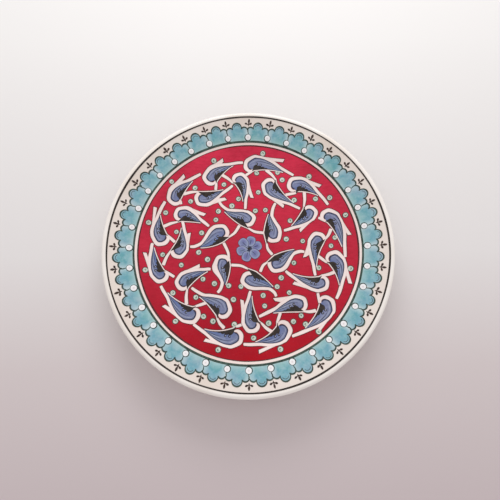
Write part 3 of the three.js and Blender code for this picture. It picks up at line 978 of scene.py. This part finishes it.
def make_flower():
    draw = np.random.default_rng(5)
    fills, lines, heart = Paint(70), Paint(71), Paint(72)
    steps = 36
    a = full_turn(steps)
    lines.disc(FLOWER_AT, 7.0 + 0.4 * np.cos(6 * (a - FLOWER_TURN)), LEVEL_CREAM, steps)
    for i in range(SECTORS):
        way = FLOWER_TURN + 2 * math.pi * i / SECTORS + draw.uniform(-0.05, 0.05)
        out = unit(way)
        centre = np.array(FLOWER_AT) + out * (FLOWER_REACH + draw.uniform(-0.3, 0.3))
        off = a - way
        inner = 0.24 * np.clip(-np.cos(off), 0, 1) ** 3
        radius = FLOWER_PETAL * (1 + inner - 0.035 * np.cos(4 * off))
        lines.disc(centre, radius + 0.42, LEVEL_FILL + 0.012 * i, steps)
        fills.disc(centre, radius, LEVEL_FILL + 0.012 * i + 0.006, steps)
        for lean in (-0.3, 0.3):
            tip = centre + unit(way + lean) * 0.9
            root = np.array(FLOWER_AT) + out * 3.4
            vein = spline([root, (root + tip) / 2, tip], 5)
            lines.stroke(vein, np.linspace(0.16, 0.06, len(vein)), LEVEL_TOP + 0.01)
    heart.disc(FLOWER_AT, 1.15 + 0.12 * np.cos(4 * full_turn(30)), LEVEL_TOP + 0.04, 30)
    halo = np.array(FLOWER_AT) + 1.75 * unit(np.linspace(1.9, 3.9, 14))
    fills.piece("flower_petals", LOOKS["violet"], ["centre_flower"])
    lines.piece("flower_lines", LOOKS["navy"], ["centre_flower"])
    heart.piece("flower_heart", LOOKS["black"], ["centre_flower"])
    light = Paint(73)
    light.stroke(halo, 0.22, LEVEL_TOP + 0.03)
    light.piece("flower_halo", LOOKS["pale"], ["centre_flower"])


# ---- the rim ----
# A petal's edge is a tall lobe between two low ones: distance to the side of the petal's middle,
# radius of the lobe's centre on the plate, and the lobe's own radius.
LOBES = ((0.0, 110.9, 4.1), (6.6, 108.0, 3.25), (-6.6, 108.0, 3.25))
HALF_PETAL = math.pi / PETALS
SCALLOP_R = 110                  # radius at which a petal's width is measured
SWELL_FROM = 108.5               # a petal's edge grows or shrinks from this radius
TREFOIL_R = 115                  # radius at which a trefoil's width is measured


def petal_top(x):
    """Radius of a petal's scalloped edge, x mm to the side of its middle."""
    tops = [middle + np.sqrt(np.maximum(r ** 2 - (x - side) ** 2, 0)) * (np.abs(x - side) <= r)
            for side, middle, r in LOBES]
    return np.max(tops, axis=0)


def rim_point(angle, r):
    return unit(angle) * np.asarray(r)[..., None]


def make_rim():
    draw = np.random.default_rng(21)
    fills, lines = Paint(80), Paint(81)
    pearls, pearl_rims, trefoils = Paint(82), Paint(83), Paint(84)
    reach = HALF_PETAL * SCALLOP_R
    notch = 4.08                 # where the tall lobe meets a low one
    x = np.unique(np.concatenate([np.linspace(-reach, reach, 61), [-notch, notch]]))
    for i in range(PETALS):
        middle = RIM_TURN + (2 * i + 1) * HALF_PETAL + draw.normal() * 0.0035
        lift = draw.normal() * 0.22
        swell = 1 + draw.normal() * 0.03
        angle = middle + x / SCALLOP_R
        tops = SWELL_FROM + (petal_top(x) - SWELL_FROM) * swell + lift
        base = np.full(len(x), INNER_LINE[1] - 0.3)
        fills.slab(rim_point(angle, base), rim_point(angle, tops), 10, LEVEL_GROUND)
        for side, low, radius in LOBES:
            if side == 0:
                a = np.linspace(-0.49 * math.pi, 0.49 * math.pi, 22)
            else:
                a = np.linspace(-0.95, 1.2, 22) * math.copysign(1, side)
            across = side + np.sin(a) * radius
            high = SWELL_FROM + (low + np.cos(a) * radius - SWELL_FROM) * swell + lift
            half = 0.36 + 0.28 * np.cos(a * 0.8) ** 2
            lines.stroke(rim_point(middle + across / SCALLOP_R, high), half, LEVEL_SHADE)
        a = np.linspace(-1.2, 1.2, 16)
        echo = 2.6               # a finer arc inside the tall lobe
        high = 110.6 + np.cos(a) * echo + lift
        lines.stroke(rim_point(middle + np.sin(a) * echo / SCALLOP_R, high), 0.19, LEVEL_SHADE)

        seam = RIM_TURN + 2 * i * HALF_PETAL + draw.normal() * 0.002
        drop = np.linspace(0, 1, 9)
        lines.stroke(rim_point(seam + np.sin(drop * 6) * 0.0022, 109.3 - drop * 4.4),
                     0.26 + 0.26 * (1 - drop), LEVEL_SHADE)
        centre = rim_point(np.array(seam), np.array(PEARL_AT + draw.normal() * 0.15))
        size = PEARL_R * draw.uniform(0.93, 1.05)
        thick = 0.6 + 0.25 * np.cos(full_turn(28) - seam - 0.7 * math.pi)
        pearl_rims.disc(centre, size + thick, LEVEL_CREAM)
        pearls.disc(centre, size, LEVEL_FILL, crown=0.12)
        make_trefoil(trefoils, seam + draw.normal() * 0.003, draw)
    fills.piece("petal_fills", LOOKS["turquoise"], ["petal_band"])
    lines.piece("petal_outlines", LOOKS["green"])
    pearl_rims.piece("pearl_rims", LOOKS["green"])
    pearls.piece("pearls", LOOKS["pearl"])
    trefoils.piece("trefoils", LOOKS["umber"])


def make_trefoil(paint, angle, draw):
    """Three brush dabs that meet at a point: one upright and one to each side."""
    for lean in (-1, 0, 1):
        reach = draw.uniform(0.92, 1.08)
        t = np.linspace(0, 1, 10)
        side = (lean * 3.0 * t if lean else 0.3 * draw.normal() * t) * reach
        up = (0.3 + 1.2 * t if lean else 5.4 * t - 0.8) * reach
        heavy = [0.2, 0.45, 0.92, 0.55] if lean else [0.3, 0.4, 1.05, 0.5]
        half = np.interp(t, [0, 0.35, 0.72, 1], heavy) * draw.uniform(0.88, 1.1)
        paint.stroke(rim_point(angle + side / TREFOIL_R, TREFOIL_AT + up), half, LEVEL_LINE)
    foot = rim_point(np.array(angle), np.array(TREFOIL_AT + 0.2))
    paint.disc(foot, 0.5, LEVEL_LINE - 0.004, 12, 2)


make_plate()
make_ground()
make_rim()
make_leaves()
make_dots()
make_flower()


# ---- studio ----
FLOOR_GAP = 0.02                 # keeps the floor off the foot's own face
FLOOR_HALF = 3.0                 # m
LENS, SENSOR = 30.59, 36.0
CAMERA_FORE = 83.35              # how far the camera stands towards the viewer
CAMERA_OVER = 350.9              # how far it stands over the outer line
CAMERA_TURN = (12.711, 0.0203, -1.1137)   # degrees
ROOM_COLOUR, ROOM_STRENGTH = (1.0, 0.965, 0.96, 1.0), 0.7
WINDOW_AT, WINDOW_SIZE, WINDOW_POWER = (0.04, 0.95, 0.55), (0.9, 0.4), 5.8


def make_floor():
    mesh = bpy.data.meshes.new("floor")
    half = FLOOR_HALF
    z = (FOOT_Z - FLOOR_GAP) * MM
    mesh.from_pydata([(-half, -half, z), (half, -half, z), (half, half, z), (-half, half, z)], [],
                     [(0, 1, 2, 3)])
    look = Look("floor", "clay")
    # painted shade: the floor runs from a darker pinkish grey at the front (-Y) to near white at the
    # back, standing in for the window's light falling off
    reach = look.span(look.split(look.where)[1], -0.24, 0.22)
    colour = look.ramp(reach, (0.0, "cbbdc0"), (0.3, "d9cfd0"), (0.52, "e9e6e6"), (1.0, "f1f0ef"))
    mesh.materials.append(look.finish(colour, 0.6))
    floor = bpy.data.objects.new("floor", mesh)
    bpy.context.scene.collection.objects.link(floor)


def make_camera():
    data = bpy.data.cameras.new("camera")
    data.sensor_width = SENSOR
    data.lens = LENS
    data.clip_start, data.clip_end = 0.01, 20
    camera = bpy.data.objects.new("camera", data)
    line_z = float(surface(sum(OUTER_LINE) / 2))
    camera.location = (0.0, -CAMERA_FORE * MM, (line_z + CAMERA_OVER) * MM)
    camera.rotation_euler = [math.radians(a) for a in CAMERA_TURN]
    bpy.context.scene.collection.objects.link(camera)
    bpy.context.scene.camera = camera


def make_light():
    """Even light from a pale room, and a window beyond the plate that faces it."""
    world = bpy.data.worlds.new("studio")
    world.use_nodes = True
    back = world.node_tree.nodes["Background"]
    back.inputs["Color"].default_value = ROOM_COLOUR
    back.inputs["Strength"].default_value = ROOM_STRENGTH
    bpy.context.scene.world = world
    data = bpy.data.lights.new("window", "AREA")
    data.shape = "RECTANGLE"
    data.size, data.size_y = WINDOW_SIZE
    data.energy = WINDOW_POWER
    data.color = (1.0, 1.0, 1.0)
    window = bpy.data.objects.new("window", data)
    window.location = WINDOW_AT
    window.rotation_euler = (-Vector(WINDOW_AT)).to_track_quat("-Z", "Y").to_euler()
    bpy.context.scene.collection.objects.link(window)
    bpy.context.scene.view_settings.view_transform = "Standard"


make_floor()
make_light()
make_camera()
